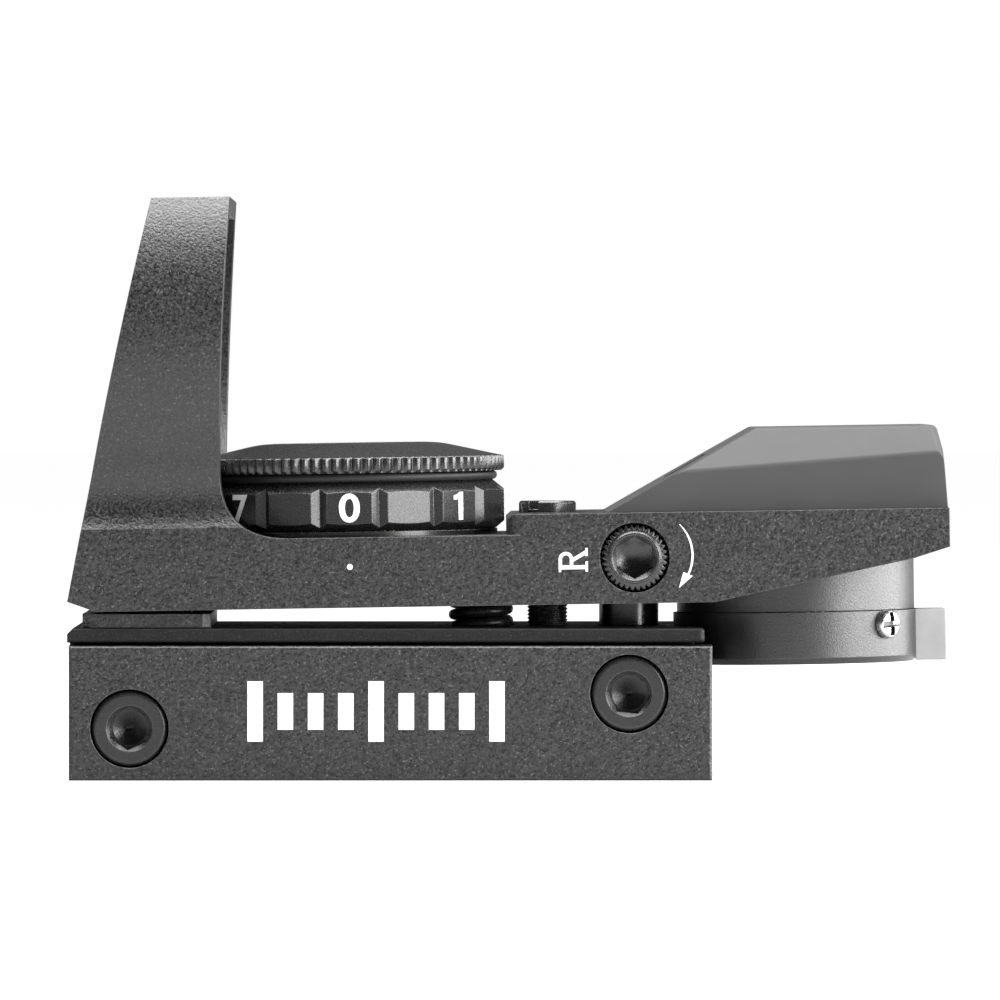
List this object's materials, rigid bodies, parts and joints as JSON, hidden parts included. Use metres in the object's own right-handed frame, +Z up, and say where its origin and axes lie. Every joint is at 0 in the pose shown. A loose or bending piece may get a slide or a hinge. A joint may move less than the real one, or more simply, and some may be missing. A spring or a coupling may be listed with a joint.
{
  "type": "reflex red dot finder",
  "caption": "Open reflex red dot finder with a hooded lens, brightness dial, reticle drum and a rail clamp.",
  "frame": {"origin": "on the rail's top face, on the centreline, in line with the front cross bolt", "axes": "+X from the lens hood to the emitter along the rail, +Y to the fixed jaw's side, +Z up"},
  "size_m": [0.0822, 0.042, 0.0541],
  "materials": {
    "body_black": "sand-blasted black anodised",
    "cover_grey": "smooth satin grey",
    "dial_black": "satin black anodised",
    "drum_black": "fine satin black",
    "black_steel": "black oxide",
    "bright_steel": "zinc plated",
    "spring_steel": "oiled black spring wire",
    "lever_grey": "pale satin",
    "lens_glass": "red reflecting coating",
    "clear_glass": "clear",
    "mirror_silver": "front silvered",
    "seal_rubber": "moulded rubber",
    "inner_plastic": "moulded black",
    "board_green": "circuit board",
    "contact_brass": "sheet brass",
    "led_red": "clear red",
    "cell_steel": "nickel plated"
  },
  "bodies": {
    "base": {"rail_saddle": "body_black", "windage_post": "black_steel", "lift_spring": "spring_steel"},
    "clamp": {"clamp_plate": "body_black"},
    "front_bolt": {"front_cross_bolt": "black_steel"},
    "rear_bolt": {"rear_cross_bolt": "black_steel"},
    "pivot": {"pivot_block": "body_black", "pivot_screw": "black_steel", "pivot_washer": "bright_steel"},
    "optic": {"main_frame": "body_black", "well_cover": "body_black", "tilt_pin": "black_steel", "objective_lens": "lens_glass", "lens_retainer": "inner_plastic", "lens_gasket": "seal_rubber", "dial_base": "dial_black", "switch_board": "board_green", "dial_click_ball": "bright_steel", "dial_click_spring": "spring_steel", "windage_plug": "black_steel", "windage_spring": "spring_steel", "emitter_cover": "cover_grey", "emitter_window": "clear_glass", "mirror_plate": "mirror_silver", "mirror_mount": "inner_plastic", "cover_screws": "bright_steel", "emitter_housing": "drum_black", "selector_axle": "contact_brass", "selector_washer": "spring_steel", "selector_screw": "bright_steel", "led_board": "board_green", "led": "led_red"},
    "dial": {"brightness_dial": "dial_black", "dial_circlip": "spring_steel", "dial_wiper": "contact_brass", "battery_contact": "contact_brass", "battery": "cell_steel"},
    "cap_ring": {"cap_seal": "seal_rubber"},
    "cap": {"battery_cap": "dial_black"},
    "windage_foot": {"windage_pad": "contact_brass"},
    "windage_knob": {"windage_screw": "black_steel"},
    "plunger": {"windage_plunger": "bright_steel"},
    "elevation_foot": {"elevation_washer": "bright_steel"},
    "elevation_knob": {"elevation_screw": "black_steel"},
    "selector": {"selector_ring": "drum_black", "selector_lever": "lever_grey", "selector_screws": "bright_steel", "reticle_disc": "inner_plastic"}
  },
  "joints": [
    {"name": "clamp_slide", "type": "slide", "parent": "base", "child": "clamp", "axis": [0, -1, 0], "range_m": [0, 0.003]},
    {"name": "front_bolt_turn", "type": "hinge", "parent": "clamp", "child": "front_bolt", "pos_m": [0, -0.0163, -0.001], "axis": [0, -1, 0], "range_deg": [0, 1545]},
    {"name": "rear_bolt_turn", "type": "hinge", "parent": "clamp", "child": "rear_bolt", "pos_m": [0.0463, -0.0163, 0.00222], "axis": [0, -1, 0], "range_deg": [0, 1545]},
    {"name": "windage", "type": "hinge", "parent": "base", "child": "pivot", "pos_m": [0.0018, 0, 0.0083], "axis": [0, 0, 1], "range_deg": [-1, 1]},
    {"name": "elevation", "type": "hinge", "parent": "pivot", "child": "optic", "pos_m": [0.0018, 0, 0.013], "axis": [0, -1, 0], "range_deg": [-1.2, 0.8], "deforming": ["lift_spring"]},
    {"name": "brightness", "type": "hinge", "parent": "optic", "child": "dial", "pos_m": [0.02038, 0, 0.01729], "axis": [0.0157, 0, -0.9999], "range_deg": [0, 315]},
    {"name": "cap_lift", "type": "slide", "parent": "dial", "child": "cap_ring", "axis": [-0.0157, 0, 0.9999], "range_m": [0, 0.0024]},
    {"name": "cap_turn", "type": "hinge", "parent": "cap_ring", "child": "cap", "pos_m": [0.02031, 0, 0.02229], "axis": [-0.0157, 0, 0.9999], "range_deg": [0, 1081]},
    {"name": "windage_foot_push", "type": "slide", "parent": "optic", "child": "windage_foot", "axis": [0, 1, 0], "range_m": [-0.0008, 0.0008]},
    {"name": "windage_knob_turn", "type": "hinge", "parent": "windage_foot", "child": "windage_knob", "pos_m": [0.04681, -0.0167, 0.01484], "axis": [0, 1, 0], "range_deg": [-566, 566]},
    {"name": "plunger_push", "type": "slide", "parent": "optic", "child": "plunger", "axis": [0, 1, 0], "range_m": [-0.0008, 0.0008], "deforming": ["windage_spring"]},
    {"name": "elevation_foot_lift", "type": "slide", "parent": "base", "child": "elevation_foot", "axis": [0, 0, 1], "range_m": [-0.0008, 0.0006]},
    {"name": "elevation_knob_turn", "type": "hinge", "parent": "elevation_foot", "child": "elevation_knob", "pos_m": [0.03885, 0, 0.01995], "axis": [0, 0, 1], "range_deg": [-799, 533]},
    {"name": "reticle_select", "type": "hinge", "parent": "optic", "child": "selector", "pos_m": [0.06224, 0, 0.00695], "axis": [-0.0157, 0, 0.9999], "range_deg": [-60, 30]}
  ],
  "couplings": [
    {"joint": "front_bolt_turn", "follows": "clamp_slide", "rad_per_m": 8976},
    {"joint": "rear_bolt_turn", "follows": "clamp_slide", "rad_per_m": 8976},
    {"joint": "cap_turn", "follows": "cap_lift", "rad_per_m": 7854},
    {"joint": "windage_foot_push", "follows": "windage", "m_per_rad": -0.04503},
    {"joint": "windage_knob_turn", "follows": "windage", "ratio": -565.86},
    {"joint": "plunger_push", "follows": "windage", "m_per_rad": -0.04503},
    {"joint": "elevation_foot_lift", "follows": "elevation", "m_per_rad": 0.03705},
    {"joint": "elevation_knob_turn", "follows": "elevation", "ratio": 665.12}
  ]
}
